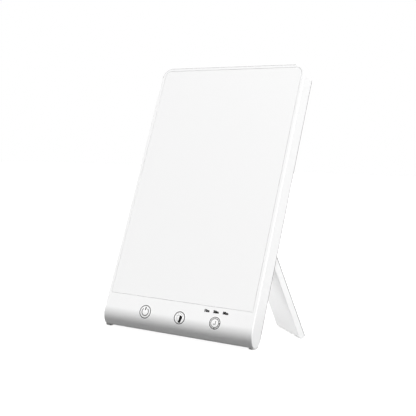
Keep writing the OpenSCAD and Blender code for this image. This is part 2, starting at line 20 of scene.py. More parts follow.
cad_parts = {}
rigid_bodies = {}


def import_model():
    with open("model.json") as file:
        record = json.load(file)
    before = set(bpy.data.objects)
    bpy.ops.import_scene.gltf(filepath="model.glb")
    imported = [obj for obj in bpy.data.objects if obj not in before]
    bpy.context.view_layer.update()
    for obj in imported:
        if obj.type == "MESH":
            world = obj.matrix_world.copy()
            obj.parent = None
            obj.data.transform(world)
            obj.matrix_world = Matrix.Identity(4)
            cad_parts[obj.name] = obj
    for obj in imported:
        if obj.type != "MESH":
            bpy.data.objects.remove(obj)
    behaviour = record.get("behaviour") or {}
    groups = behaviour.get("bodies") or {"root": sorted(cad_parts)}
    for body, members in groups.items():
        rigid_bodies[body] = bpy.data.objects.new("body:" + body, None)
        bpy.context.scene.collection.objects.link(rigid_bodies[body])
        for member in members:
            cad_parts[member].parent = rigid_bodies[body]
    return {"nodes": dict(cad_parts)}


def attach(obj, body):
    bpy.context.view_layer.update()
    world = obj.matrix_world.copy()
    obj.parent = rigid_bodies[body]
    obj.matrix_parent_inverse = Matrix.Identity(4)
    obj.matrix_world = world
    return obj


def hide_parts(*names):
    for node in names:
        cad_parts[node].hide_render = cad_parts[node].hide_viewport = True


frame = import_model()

Place = tuple[float, float, float]
Pair = tuple[float, float]
LOG = logging.getLogger("lamp")
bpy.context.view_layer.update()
MM = 0.001
# Spacing of the slow wander of a moulded surface's colour
WANDER_MM = 40.0
CORNER_SEGMENTS = 12
# From this angle in degrees an edge of a solid counts as sharp
SHARP = 38.0
# Up to this angle in degrees two faces of a piece shade as one surface
CREASE = 32.0
# How far a fine line stands above the surface that it lies on, and reaches into it
LINE_LIFT = 0.02
LINE_SINK = 0.1
# Points nearer than this belong to one screw head; the depth of its recess
ONE_HEAD = 8.0
RECESS = 0.7


def linear(hex_colour: str) -> tuple[float, float, float, float]:
    """Turn an sRGB hex colour into linear values.

    Args:
        hex_colour: Six hex digits with a leading '#'.

    Returns:
        Red, green, blue and an alpha of one.
    """
    digits = hex_colour.lstrip("#")
    channels = [int(digits[i : i + 2], 16) / 255 for i in (0, 2, 4)]
    curve = [c / 12.92 if c <= 0.04045 else ((c + 0.055) / 1.055) ** 2.4 for c in channels]
    return (curve[0], curve[1], curve[2], 1.0)


# ---- Sizes and places ----


@dataclass(frozen=True)
class Stance:
    """How the lamp stands: the same values as the solids use, in millimetres and degrees."""

    width: float = 152.0
    height: float = 255.0
    depth: float = 18.0
    foot_proud: float = 0.9
    foot_flat: float = 0.2
    open_angle: float = 60.0
    leg_gap: float = 0.2
    leg_thick: float = 4.8
    leg_side: float = 1.0
    hinge_z: float = 75.0
    strip_proud: float = 0.4
    nose_rise: float = 15.0

    @property
    def nose(self) -> float:
        """Radius of the rounded lower edge."""
        return self.depth / 2

    @property
    def tilt(self) -> float:
        """Angle of the panel from upright, in radians."""
        return math.atan(math.tan(math.radians(self.open_angle / 2)) / math.sqrt(2))

    @property
    def ground(self) -> float:
        """Height of the table in the panel's turned frame."""
        return self.nose * (math.cos(self.tilt) - math.sin(self.tilt)) - self.nose - self.foot_proud

    @property
    def hinge_y(self) -> float:
        """Distance of the hinge line behind the front face."""
        return self.depth + self.leg_gap + self.leg_thick / 2

    @property
    def leg_right(self) -> float:
        """Right side of the leg."""
        return self.width / 2 - self.leg_side

    @property
    def pivot(self) -> Vector:
        """Point of the hinge line at the right side of the closed leg."""
        return Vector((self.leg_right, self.hinge_y, self.hinge_z))

    @property
    def leg_end(self) -> float:
        """Centre height of the leg's round lower end while it is closed."""
        drop = self.leg_thick / 2 - self.foot_flat
        strip = (self.ground + drop + self.hinge_y * math.sin(self.tilt)) / math.cos(self.tilt)
        return strip + self.strip_proud

    @property
    def lean(self) -> Matrix:
        """Matrix from panel millimetres to the row frame in metres."""
        turn = math.radians(self.open_angle)
        half = (1 - math.cos(turn)) / 2
        reach = self.leg_right + (self.hinge_z - self.leg_end) * half
        reach += self.leg_thick / 2 * math.hypot(half, math.sin(turn) / math.sqrt(2))
        front = self.nose * (math.cos(self.tilt) + math.sin(self.tilt)) - self.nose
        back = self.height * math.sin(self.tilt) + self.depth * math.cos(self.tilt)
        place = Vector((-(reach - self.width / 2) / 2, -(front + back) / 2, -self.ground))
        return Matrix.Scale(MM, 4) @ Matrix.Translation(place) @ Matrix.Rotation(-self.tilt, 4, "X")

    @property
    def swung(self) -> Matrix:
        """Matrix from the closed leg's panel millimetres to the row frame with the leg open."""
        turn = Matrix.Rotation(math.radians(self.open_angle), 4, Vector((1, 0, -1)).normalized())
        return self.lean @ Matrix.Translation(self.pivot) @ turn @ Matrix.Translation(-self.pivot)


STANCE = Stance()


# ---- Materials ----


class Relief(Enum):
    """How a surface was made; the grain of a brushed one runs in long scratches."""

    MOULDED = "moulded"
    OPAL = "opal"
    RUBBER = "rubber"
    BRUSHED = "brushed"
    INK = "ink"
    FOAM = "foam"


@dataclass(frozen=True)
class Finish:
    """One surface finish.

    The grain is the real spacing of the surface's texture in millimetres, and the depth is how
    strongly it shows. Mottle is the share by which the colour wanders, as in moulded plastic.
    """

    name: str
    colour: str
    relief: Relief
    roughness: float
    grain_mm: float
    depth: float = 0.1
    mottle: float = 0.01
    metallic: float = 0.0
    ior: float = 1.5
    clear: float = 0.0


def node(tree: bpy.types.NodeTree, kind: str, settings: dict, links: dict) -> bpy.types.Node:
    """Add one node to a tree.

    Args:
        tree: Node tree that gets the node.
        kind: Blender's name for the node type.
        settings: Attribute or socket name to value; a socket's name starts with '@'.
        links: Input socket name to the output socket that feeds it.

    Returns:
        The new node.
    """
    made = tree.nodes.new(kind)
    for key, value in settings.items():
        if key.startswith("@"):
            made.inputs[key[1:]].default_value = value
        else:
            setattr(made, key, value)
    for key, source in links.items():
        tree.links.new(made.inputs[key], source)
    return made


def cleared(owner: bpy.types.Material | bpy.types.World) -> bpy.types.NodeTree:
    """Give a material or world an empty node tree.

    Args:
        owner: The material or world.

    Returns:
        Its tree.
    """
    owner.use_nodes = True
    owner.node_tree.nodes.clear()
    return owner.node_tree


class FinishShop:
    """Makes each material once and hands it out again by name."""

    def __init__(self) -> None:
        """Start with no materials."""
        self.made: dict[str, bpy.types.Material] = {}

    def material(self, finish: Finish) -> bpy.types.Material:
        """Make or fetch the material of a finish.

        Args:
            finish: The finish to turn into nodes.

        Returns:
            Its material.
        """
        if finish.name in self.made:
            return self.made[finish.name]
        made = bpy.data.materials.new(finish.name)
        tree = cleared(made)
        place = node(tree, "ShaderNodeTexCoord", {}, {}).outputs["Object"]
        spacing = finish.grain_mm * MM
        if finish.relief is Relief.BRUSHED:
            # The scratches run along x, so the pattern is stretched that way
            place = node(tree, "ShaderNodeMapping", {"@Scale": (0.04, 1.0, 1.0)},
                         {"Vector": place}).outputs["Vector"]
        grain = node(tree, "ShaderNodeTexNoise",
                     {"@Scale": 1 / spacing, "@Detail": 3.0, "@Roughness": 0.55}, {"Vector": place})
        wander = node(tree, "ShaderNodeTexNoise",
                      {"@Scale": 1 / (WANDER_MM * MM), "@Detail": 2.0}, {"Vector": place})
        base = linear(finish.colour)
        tint = node(tree, "ShaderNodeMix", {"data_type": "RGBA"}, {"Factor": wander.outputs["Fac"]})
        for socket, share in ((6, 1 - finish.mottle), (7, 1 + finish.mottle)):
            tint.inputs[socket].default_value = (*(min(1.0, c * share) for c in base[:3]), 1.0)
        rough = node(tree, "ShaderNodeMapRange",
                     {"@To Min": finish.roughness - 0.04, "@To Max": finish.roughness + 0.04},
                     {"Value": grain.outputs["Fac"]})
        bump = node(tree, "ShaderNodeBump", {"@Strength": finish.depth, "@Distance": spacing * 0.2},
                    {"Height": grain.outputs["Fac"]})
        settings = {"@Metallic": finish.metallic}
        if finish.metallic < 0.5:
            settings["@IOR"] = finish.ior
        if finish.clear:
            settings["@Transmission Weight"] = finish.clear
        skin = node(tree, "ShaderNodeBsdfPrincipled", settings,
                    {"Base Color": tint.outputs[2], "Roughness": rough.outputs["Result"],
                     "Normal": bump.outputs["Normal"]})
        node(tree, "ShaderNodeOutputMaterial", {}, {"Surface": skin.outputs["BSDF"]})
        self.made[finish.name] = made
        return made


# Moulded ABS: satin white, with the fine spark-eroded grain of its mould
WHITE_ABS = Finish("moulded_white_abs", "#F5F5F5", Relief.MOULDED, 0.5, 0.5, 0.05, 0.006, ior=1.53)
# The leg is moulded apart from the shell, in a slightly greyer batch
LEG_ABS = Finish("moulded_leg_abs", "#ECECEC", Relief.MOULDED, 0.5, 0.5, 0.05, 0.006, ior=1.53)
# Opal acrylic sheet: the matt side faces out, so nothing mirrors in it
OPAL_ACRYLIC = Finish("opal_acrylic_sheet", "#F3F3F3", Relief.OPAL, 0.62, 0.8, 0.05, 0.004,
                      ior=1.49)
# Pad-printed ink: thin, matt and slightly uneven
GREY_INK = Finish("pad_printed_grey_ink", "#5C5C5C", Relief.INK, 0.6, 0.4, 0.05, 0.05)
PALE_INK = Finish("pad_printed_pale_ink", "#A6A6A6", Relief.INK, 0.6, 0.4, 0.05, 0.05)
BLACK_INK = Finish("pad_printed_black_ink", "#0C0C0C", Relief.INK, 0.6, 0.4, 0.05, 0.05, ior=1.2)
# A white underprint carries the lines, so the keys look a little whiter than the shell
WHITE_INK = Finish("pad_printed_white_ink", "#FCFCFC", Relief.INK, 0.5, 0.4, 0.05, 0.004)
# Silicone rubber: matt, with a soft uneven skin
GREY_RUBBER = Finish("moulded_grey_rubber", "#E6E6E5", Relief.RUBBER, 0.8, 0.35, 0.2, 0.04)
PALE_RUBBER = Finish("moulded_pale_rubber", "#EDEDEC", Relief.RUBBER, 0.75, 0.35, 0.15, 0.02)
# Painted shade: a grey finish for the fine lines that stand in for the dark outlines along the
# edges of the white shell and the leg
OUTLINE_SHADE_GREY = Finish("painted_outline_shade", "#949494", Relief.RUBBER, 0.75, 0.35, 0.1, 0.02)
FROSTED_FILM = Finish("frosted_polyester_film", "#F7F7F7", Relief.OPAL, 0.7, 0.3, 0.1, 0.005)
CLEAR_ACRYLIC = Finish("clear_acrylic_plate", "#EAF2F2", Relief.MOULDED, 0.08, 0.6, 0.02, 0.01,
                       ior=1.49, clear=0.8)
WHITE_FILM = Finish("white_reflector_film", "#FAFAFA", Relief.OPAL, 0.55, 0.4, 0.05, 0.005)
ALUMINIUM = Finish("rolled_aluminium_sheet", "#C9CBCD", Relief.BRUSHED, 0.38, 0.3, 0.15, 0.04,
                   metallic=1.0)
SOLDER_MASK = Finish("green_solder_mask", "#1F5A34", Relief.MOULDED, 0.35, 0.9, 0.25, 0.18)
WHITE_MASK = Finish("white_solder_mask", "#EFEFEA", Relief.MOULDED, 0.45, 0.6, 0.1, 0.02)
PHOSPHOR = Finish("lamp_phosphor", "#EBC24A", Relief.RUBBER, 0.6, 0.3, 0.15, 0.08)
BLACK_MOULDING = Finish("moulded_black_nylon", "#1B1B1D", Relief.MOULDED, 0.5, 0.3, 0.15, 0.1)
CONTACT_FOAM = Finish("conductive_foam", "#262628", Relief.FOAM, 0.9, 0.5, 0.6, 0.15)
COPPER = Finish("enamelled_copper_wire", "#A85F32", Relief.BRUSHED, 0.3, 0.35, 0.5, 0.1,
                metallic=1.0)
CAN_METAL = Finish("drawn_aluminium_can", "#BFC2C6", Relief.BRUSHED, 0.3, 0.4, 0.1, 0.05,
                   metallic=1.0)
IVORY_NYLON = Finish("moulded_ivory_nylon", "#DCD5BF", Relief.MOULDED, 0.5, 0.3, 0.1, 0.03)
ZINC_STEEL = Finish("zinc_plated_steel", "#A9ABAE", Relief.BRUSHED, 0.35, 0.25, 0.2, 0.06,
                    metallic=1.0)
GROUND_STEEL = Finish("ground_steel_pin", "#B8BABD", Relief.BRUSHED, 0.28, 0.2, 0.15, 0.04,
                      metallic=1.0)
TURNED_BRASS = Finish("turned_brass", "#B5954F", Relief.BRUSHED, 0.3, 0.25, 0.2, 0.06, metallic=1.0)
RED_WIRE = Finish("red_wire_sleeve", "#9E2020", Relief.RUBBER, 0.5, 0.3, 0.08, 0.05)

NODE_FINISH: dict[str, Finish] = {name: finish for finish, names in (
    (WHITE_ABS, "front_frame back_cover"),
    (OPAL_ACRYLIC, "diffuser_panel"),
    (FROSTED_FILM, "diffusion_film"),
    (CLEAR_ACRYLIC, "light_guide"),
    (WHITE_FILM, "reflector_sheet"),
    (ALUMINIUM, "back_plate"),
    (ZINC_STEEL, "plate_screws board_screws inlet_pin cover_screws hinge_screws leg_screws"),
    (WHITE_MASK, "led_bar"),
    (PHOSPHOR, "led_packages timer_lights"),
    (RED_WIRE, "led_lead inlet_lead"),
    (SOLDER_MASK, "control_board"),
    (BLACK_MOULDING, "control_chip dc_inlet"),
    (COPPER, "driver_inductor"),
    (CAN_METAL, "capacitors"),
    (IVORY_NYLON, "board_connectors"),
    (CONTACT_FOAM, "touch_pads"),
    (TURNED_BRASS, "cover_spacers"),
    (GREY_RUBBER, "front_feet"),
    (GROUND_STEEL, "hinge_plate hinge_pin hinge_washers"),
    (LEG_ABS, "leg_shell leg_cover"),
    (PALE_RUBBER, "leg_foot"),
) for name in names.split()}


# ---- Mesh helpers ----


def block(bm: BMesh, low: Place, high: Place) -> None:
    """Add a box between two corners.

    Args:
        bm: Mesh that gets the box.
        low: Its lowest corner.
        high: Its highest corner.
    """
    size = [h - l for l, h in zip(low, high)]
    middle = [(h + l) / 2 for l, h in zip(low, high)]
    place = Matrix.Translation(Vector(middle)) @ Matrix.Diagonal(Vector((*size, 1.0)))
    bmesh.ops.create_cube(bm, size=1.0, matrix=place)


def face_out(bm: BMesh) -> None:
    """Turn every face of a mesh outwards."""
    bmesh.ops.recalc_face_normals(bm, faces=bm.faces[:])


def grow(bm: BMesh, faces: list[BMFace], step: Vector | Place, keep: bool = False) -> None:
    """Extrude some faces by a step in millimetres; keep leaves the first faces as the other end."""
    grown = bmesh.ops.extrude_face_region(bm, geom=faces, use_keep_orig=keep)["geom"]
    bmesh.ops.translate(bm, vec=Vector(step), verts=[g for g in grown if isinstance(g, BMVert)])


def slice_at(bm: BMesh, point: Vector | Place, normal: Place, clear: bool = False) -> list[BMEdge]:
    """Cut a mesh through at a plane; clear drops what lies beyond it.

    Args:
        bm: Mesh to cut through.
        point: A point of the plane.
        normal: Direction of the plane's far side.
        clear: Whether the far side goes.

    Returns:
        The new edges in the plane.
    """
    whole = [*bm.verts, *bm.edges, *bm.faces]
    done = bmesh.ops.bisect_plane(bm, geom=whole, dist=0.0001, plane_co=Vector(point),
                                  plane_no=Vector(normal), clear_outer=clear)
    return [g for g in done["geom_cut"] if isinstance(g, BMEdge)]


def round_edges(bm: BMesh, geometry: Iterable[BMEdge | BMVert], radius: float, segments: int,
                affect: str = "EDGES") -> None:
    """Round some edges, or the corners of a flat face, with a bevel of a circular profile."""
    bmesh.ops.bevel(bm, geom=list(geometry), offset=radius, offset_type="OFFSET", affect=affect,
                    segments=segments, profile=0.5, material=-1, clamp_overlap=False)


def edges_where(bm: BMesh, test: Callable[[BMEdge], bool]) -> list[BMEdge]:
    """Pick the edges that pass a test."""
    return [e for e in bm.edges if test(e)]


def both_ends(edge: BMEdge, test: Callable[[Vector], bool]) -> bool:
    """Say whether both ends of an edge pass a test on their place."""
    return all(test(v.co) for v in edge.verts)


def near(a: float, b: float, slack: float = 0.01) -> bool:
    """Say whether two lengths agree within a small slack."""
    return abs(a - b) < slack


def along_x(bm: BMesh, z: float) -> list[BMEdge]:
    """Pick a box's edges that run across the lamp at a height."""
    return edges_where(bm, lambda e: both_ends(e, lambda c: near(c.z, z)) and
                       near(e.verts[0].co.y, e.verts[1].co.y))


def arched_slab(bm: BMesh, half: float, low: float, high: float, radius: float, y0: float,
                y1: float) -> None:
    """Add a slab with two rounded upper corners.

    Args:
        bm: Mesh that gets the slab.
        half: Half its width.
        low: Height of its lower edge.
        high: Height of its upper edge.
        radius: Radius of its upper corners.
        y0: Front of the slab.
        y1: Back of the slab.
    """
    old = set(bm.faces)
    corners = [(-half, y0, low), (half, y0, low), (half, y0, high), (-half, y0, high)]
    sheet = bm.faces.new([bm.verts.new(c) for c in corners])
    tops = [v for v in sheet.verts if near(v.co.z, high)]
    round_edges(bm, tops, radius, CORNER_SEGMENTS, "VERTICES")
    sheet = next(f for f in bm.faces if f not in old)
    grow(bm, [sheet], (0, y1 - y0, 0))
    bmesh.ops.recalc_face_normals(bm, faces=[f for f in bm.faces if f not in old])


def rod(bm: BMesh, start: Vector, end: Vector, radius: float) -> None:
    """Add a closed cylinder between two points.

    Args:
        bm: Mesh that gets the rod.
        start: Middle of its first end.
        end: Middle of its other end.
        radius: Its radius.
    """
    axis = end - start
    turn = axis.to_track_quat("Z", "Y").to_matrix().to_4x4()
    bmesh.ops.create_cone(bm, cap_ends=True, cap_tris=False, segments=48, radius1=radius,
                          radius2=radius, depth=axis.length,
                          matrix=Matrix.Translation((start + end) / 2) @ turn)


def stand(name: str, data: bpy.types.ID) -> bpy.types.Object:
    """Make an object and put it in the scene.

    Args:
        name: Its name.
        data: Its mesh, text, lamp or camera.

    Returns:
        The object.
    """
    thing = bpy.data.objects.new(name, data)
    bpy.context.scene.collection.objects.link(thing)
    return thing


def meshed(name: str, bm: BMesh) -> bpy.types.Mesh:
    """Turn a bmesh into a mesh.

    Args:
        name: Name of the mesh.
        bm: The bmesh; it is freed.

    Returns:
        The mesh.
    """
    mesh = bpy.data.meshes.new(name)
    bm.to_mesh(mesh)
    bm.free()
    return mesh


def flattened(thing: bpy.types.Object) -> bpy.types.Mesh:
    """Make a new mesh of an object with its modifiers or its text worked out."""
    depsgraph = bpy.context.evaluated_depsgraph_get()
    return bpy.data.meshes.new_from_object(thing.evaluated_get(depsgraph))


def cut(bm: BMesh, tool: BMesh) -> BMesh:
    """Cut one closed mesh out of another.

    Args:
        bm: Mesh to cut; it is freed.
        tool: Mesh that is taken away; it is freed.

    Returns:
        A new mesh with what is left.
    """
    things = []
    for name, source in (("cut_body", bm), ("cut_tool", tool)):
        face_out(source)
        things.append(stand(name, meshed(name, source)))
    body, knife = things
    step = body.modifiers.new("cut", "BOOLEAN")
    step.operation = "DIFFERENCE"
    step.solver = "EXACT"
    step.object = knife
    done = flattened(body)
    left = bmesh.new()
    left.from_mesh(done)
    for thing in things:
        mesh = thing.data
        bpy.data.objects.remove(thing)
        bpy.data.meshes.remove(mesh)
    bpy.data.meshes.remove(done)
    return left


def edge_line(bm: BMesh, span: Pair, keep: Callable[[BMFace], bool]) -> BMesh:
    """Cut a mesh down to a thin line that lies on its surface between two depths.

    Args:
        bm: Mesh to cut down.
        span: Front and back of the line.
        keep: Says which of the faces between them stay.

    Returns:
        The same mesh.
    """
    low, high = span
    for y in span:
        slice_at(bm, (0, y, 0), (0, 1, 0))
    bm.normal_update()
    drop = [f for f in bm.faces if not (low < f.calc_center_median().y < high and keep(f))]
    bmesh.ops.delete(bm, geom=drop, context="FACES")
    bm.normal_update()
    outward = {tuple(round(c, 4) for c in v.co): v.normal.copy() for v in bm.verts}
    grown = bmesh.ops.extrude_face_region(bm, geom=bm.faces[:])["geom"]
    raised = {g for g in grown if isinstance(g, BMVert)}
    for vert in bm.verts:
        normal = outward[tuple(round(c, 4) for c in vert.co)]
        vert.co += normal * (LINE_LIFT if vert in raised else -LINE_SINK)
    face_out(bm)
    return bm


# ---- Sub-assemblies ----


@dataclass
class SubAssembly:
    """Pieces that ride on one body and are drawn in the panel's frame, in millimetres."""

    shop: FinishShop
    body: ClassVar[str] = "housing"
    place: ClassVar[Matrix] = STANCE.lean

    def fit(self, solid: str, point: Vector) -> None:
        """Hook that may move one point of a solid's copy to where the photograph shows it; here it
        moves nothing.
        """

    def copy(self, solid: str) -> BMesh:
        """Copy a solid of the model, with its points merged and fitted and its flat faces whole.

        Args:
            solid: Name of the solid.

        Returns:
            The copy in panel millimetres.
        """
        bm = bmesh.new()
        bm.from_mesh(frame["nodes"][solid].data)
        bmesh.ops.scale(bm, vec=Vector((1, 1, 1)) / MM, verts=bm.verts[:])
        bmesh.ops.remove_doubles(bm, verts=bm.verts[:], dist=0.0005)
        bmesh.ops.dissolve_limit(bm, angle_limit=math.radians(0.4), use_dissolve_boundaries=False,
                                 verts=bm.verts[:], edges=bm.edges[:], delimit=set())
        back = self.place.inverted() @ Matrix.Scale(MM, 4)
        bmesh.ops.transform(bm, matrix=back, verts=bm.verts[:])
        for vert in bm.verts:
            self.fit(solid, vert.co)
        return bm

    def publish(self, bm: BMesh, name: str, slot: str, finish: Finish, *solids: str,
                weighted: bool = True) -> None:
        """Turn a finished mesh into a piece of the lamp.

        Args:
            bm: Mesh in panel millimetres; it is freed.
            name: Name of the piece.
            slot: Not used.
            finish: Its finish.
            solids: Solids that it replaces.
            weighted: Whether flat faces pull the shading of the rounds beside them.
        """
        bmesh.ops.remove_doubles(bm, verts=bm.verts[:], dist=0.0005)
        limit = math.radians(CREASE)
        for face in bm.faces:
            face.smooth = True
        for edge in bm.edges:
            edge.smooth = len(edge.link_faces) == 2 and edge.calc_face_angle(0.0) < limit
        bmesh.ops.transform(bm, matrix=self.place, verts=bm.verts[:])
        piece = stand(name, meshed(name, bm))
        piece.data.materials.append(self.shop.material(finish))
        if weighted:
            piece.modifiers.new("flat_faces_lead", "WEIGHTED_NORMAL").keep_sharp = True
        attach(piece, self.body)
        if solids:
            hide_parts(*solids)
        LOG.info("piece %s: %d faces", name, len(piece.data.polygons))

    def soften(self, solid: str, name: str, slot: str, finish: Finish, radius: float,
               segments: int = 2) -> None:
        """Publish a solid with its sharp outer edges rounded.

        Args:
            solid: Name of the solid.
            name: Name of the piece.
            slot: The record's material slot for it.
            finish: Its finish.
            radius: Radius of its edges.
            segments: Segments in each round.
        """
        bm = self.copy(solid)
        limit = math.radians(SHARP)
        round_edges(bm, edges_where(bm, lambda e: len(e.link_faces) == 2 and e.is_convex and
                                    e.calc_face_angle(0.0) > limit), radius, segments)
        self.publish(bm, name, slot, finish, solid)

    def screw_heads(self, solid: str, back: float, reach: float) -> None:
        """Publish a solid's screws with a cross recess sunk into each head.

        Args:
            solid: Name of the solid.
            back: Depth of the heads' flat faces.
            reach: Half the length of the cross.
        """
        bm = self.copy(solid)
        tops: list[list[Vector]] = []
        for place in [v.co.copy() for v in bm.verts if near(v.co.y, back, 0.02)]:
            group = next((g for g in tops if (g[0] - place).length < ONE_HEAD), None)
            if group is None:
                tops.append(group := [])
            group.append(place)
        middles = [sum(g, Vector()) / len(g) for g in tops]
        for wide, high in ((reach, reach / 4), (reach / 4, reach)):
            tool = bmesh.new()
            for middle in middles:
                block(tool, (middle.x - wide, back - RECESS, middle.z - high),
                      (middle.x + wide, back + 1.0, middle.z + high))
            bm = cut(bm, tool)
        self.publish(bm, solid.replace("screws", "screw_heads"), "screw_steel", ZINC_STEEL, solid)


@dataclass
class Housing(SubAssembly):
    """The front shell with its rounded lower edge, and the diffuser in its window."""

    side_wall: float = 2.0
    front_wall: float = 1.6
    corner: float = 10.0
    side_rim: float = 3.2
    top_rim: float = 3.0
    chin: float = 28.0
    field_radius: float = 6.0
    return_height: float = 12.0
    edge: float = 0.8
    window_edge: float = 0.12
    field_inset: float = 0.1
    field_gap: float = 0.2
    inlet_z: float = 13.5
    inlet_hole: float = 3.4
    field_gap_top: float = 0.12
    # Depths and ends of the grey lines of painted shade at the back lip and along the top edge
    shade_line_span: Pair = (16.6, 17.6)
    top_shade_span: Pair = (0.02, 0.6)
    shade_line_end: float = 4.5
    nose_end: float = 20.0
    top_shade_drop: float = 16.0
    top_shade_stop: float = 12.0
    # The feet's inner end and length in the solids, and the two ends that the photograph shows
    foot_solid: Pair = (69.0, 6.6)
    foot_shown: Pair = (71.4, 75.95)
    rim_low: float = 24.9
    rim_slack: float = 0.3
    rim_thick: float = 1.4
    hole_lip: float = 0.3
    screw_cross: float = 1.3

    def outer(self) -> BMesh:
        """Shape the closed outer form: a slab with a soft nose and rounded upper corners.

        Returns:
            The mesh.
        """
        half, top, deep = STANCE.width / 2, STANCE.height, STANCE.depth
        bm = bmesh.new()
        block(bm, (-half, 0, 0), (half, deep, top))
        round_edges(bm, along_x(bm, 0), STANCE.nose, 28)
        bmesh.ops.remove_doubles(bm, verts=bm.verts[:], dist=0.001)
        # The front of the nose starts higher and turns more softly than its back
        front = [v for v in bm.verts
                 if v.co.y < STANCE.nose - 0.001 and v.co.z < STANCE.nose + 0.001]
        bmesh.ops.scale(bm, vec=Vector((1, 1, STANCE.nose_rise / STANCE.nose)), verts=front)
        round_edges(bm, edges_where(bm, lambda e: both_ends(e, lambda c: near(c.z, top)) and
                                    near(e.verts[0].co.x, e.verts[1].co.x)), self.corner, 16)
        face_out(bm)

        def band(face: BMFace) -> bool:
            """Say whether a face belongs to the sides and the top."""
            return abs(face.normal.y) < 0.01 and face.normal.z > -0.01

        rim = edges_where(bm, lambda e: len(e.link_faces) == 2 and
                          band(e.link_faces[0]) != band(e.link_faces[1]))
        round_edges(bm, rim, self.edge, 4)
        return bm

    def lines(self) -> None:
        """Lay fine grey lines of painted shade, standing in for the dark outline, round the back
        lip and along the top of the bezel.
        """
        side, top = STANCE.width / 2, STANCE.height

        def on_band(face: BMFace) -> bool:
            """Say whether a face belongs to the sides, the corners or the top.

            Args:
                face: A face of the outer form.

            Returns:
                Whether it does, above the line's ends.
            """
            x, _, z = face.calc_center_median()
            end = self.shade_line_end if abs(x) > side - self.side_wall else self.nose_end
            return z > end and abs(face.normal.y) < 0.8

        def on_top(face: BMFace) -> bool:
            """Say whether a face belongs to the top edge and its left corner."""
            x, _, z = face.calc_center_median()
            return z > top - self.top_shade_drop and x < side - self.top_shade_stop

        # Grey lines of painted shade where the edges should show a dark outline
        for name, span, keep in (("back_seal", self.shade_line_span, on_band),
                                 ("top_seam", self.top_shade_span, on_top)):
            self.publish(edge_line(self.outer(), span, keep), name, "foot_rubber", OUTLINE_SHADE_GREY)

    def toe_room(self) -> BMesh:
        """Shape the room inside the nose.

        Returns:
            The cutting mesh.
        """
        half = STANCE.width / 2 - self.side_wall
        bm = bmesh.new()
        block(bm, (-half, self.front_wall, self.front_wall),
              (half, STANCE.depth - self.front_wall, self.return_height + 1))
        round_edges(bm, along_x(bm, self.front_wall), STANCE.nose - self.front_wall - 0.4, 10)
        return bm

    def shell(self) -> None:
        """Build the front shell."""
        room, window, hole = bmesh.new(), bmesh.new(), bmesh.new()
        side, top = STANCE.width / 2, STANCE.height - self.top_rim
        field = side - self.side_rim
        arched_slab(room, side - self.side_wall, self.return_height, STANCE.height - self.side_wall,
                    self.corner - self.side_wall, self.front_wall, STANCE.depth + 2)
        arched_slab(window, field, self.chin, top, self.field_radius, -2, self.front_wall + 1)
        rod(hole, Vector((-side - 2, STANCE.nose, self.inlet_z)),
            Vector((-side + self.side_wall + 1, STANCE.nose, self.inlet_z)), self.inlet_hole)
        body = self.outer()
        for tool in (room, self.toe_room(), window, hole):
            body = cut(body, tool)

        def on_window(place: Vector) -> bool:
            """Say whether a point lies on the window's front outline."""
            inside = abs(place.x) < field + 0.02 and self.chin - 0.02 < place.z < top + 0.02
            return near(place.y, 0, 0.005) and inside

        rim = edges_where(body, lambda e: both_ends(e, on_window) and not e.is_boundary and
                          e.calc_face_angle(0.0) > 1.0)
        round_edges(body, rim, self.window_edge, 2)

        def on_inlet(place: Vector) -> bool:
            """Say whether a point lies on the inlet hole's outer rim."""
            reach = math.hypot(place.y - STANCE.nose, place.z - self.inlet_z)
            return near(place.x, -side, 0.005) and reach < self.inlet_hole + 0.05

        mouth = edges_where(body, lambda e: both_ends(e, on_inlet) and e.calc_face_angle(0.0) > 1.0)
        round_edges(body, mouth, self.hole_lip, 2)
        self.publish(body, "front_shell", "housing_white", WHITE_ABS, "front_frame")

    def diffuser(self) -> None:
        """Build the diffuser, a raised field on a thinner rim."""
        bm = bmesh.new()
        half = STANCE.width / 2 - self.side_rim - self.field_gap
        top = STANCE.height - self.top_rim - self.field_gap_top
        arched_slab(bm, half, self.chin + self.field_gap, top, self.field_radius - self.field_gap,
                    self.field_inset, self.front_wall + 0.3)
        edge = edges_where(bm, lambda e: both_ends(e, lambda c: near(c.y, self.field_inset)) and
                           e.calc_face_angle(0.0) > 1.0)
        round_edges(bm, edge, self.window_edge, 3)
        inner = self.side_wall + self.rim_slack
        arched_slab(bm, STANCE.width / 2 - inner, self.rim_low, STANCE.height - inner,
                    self.corner - inner, self.front_wall, self.front_wall + self.rim_thick)
        self.publish(bm, "opal_diffuser", "opal_diffuser", OPAL_ACRYLIC, "diffuser_panel")

    def fit(self, solid: str, point: Vector) -> None:
        """Slide the feet towards the ends of the nose, where the photograph shows them.

        Args:
            solid: Name of the solid.
            point: A point of its copy, which is moved.
        """
        if solid == "front_feet":
            inner, width = self.foot_solid
            low, high = self.foot_shown
            share = (abs(point.x) - inner) / width
            point.x = math.copysign(low + share * (high - low), point.x)

    def back(self) -> None:
        """Build the back cover, feet, inlet and screws from their solids."""
        self.soften("back_cover", "back_shell", "housing_white", WHITE_ABS, 0.3)
        self.soften("front_feet", "rubber_feet", "foot_rubber", GREY_RUBBER, 0.3, 3)
        self.soften("dc_inlet", "inlet_socket", "black_plastic", BLACK_MOULDING, 0.25)
        self.screw_heads("cover_screws", STANCE.depth, self.screw_cross)

    def build(self) -> None:
        """Build every piece of the housing that shows."""
        self.shell()
        self.diffuser()
        self.lines()
        self.back()


# ---- Leg ----


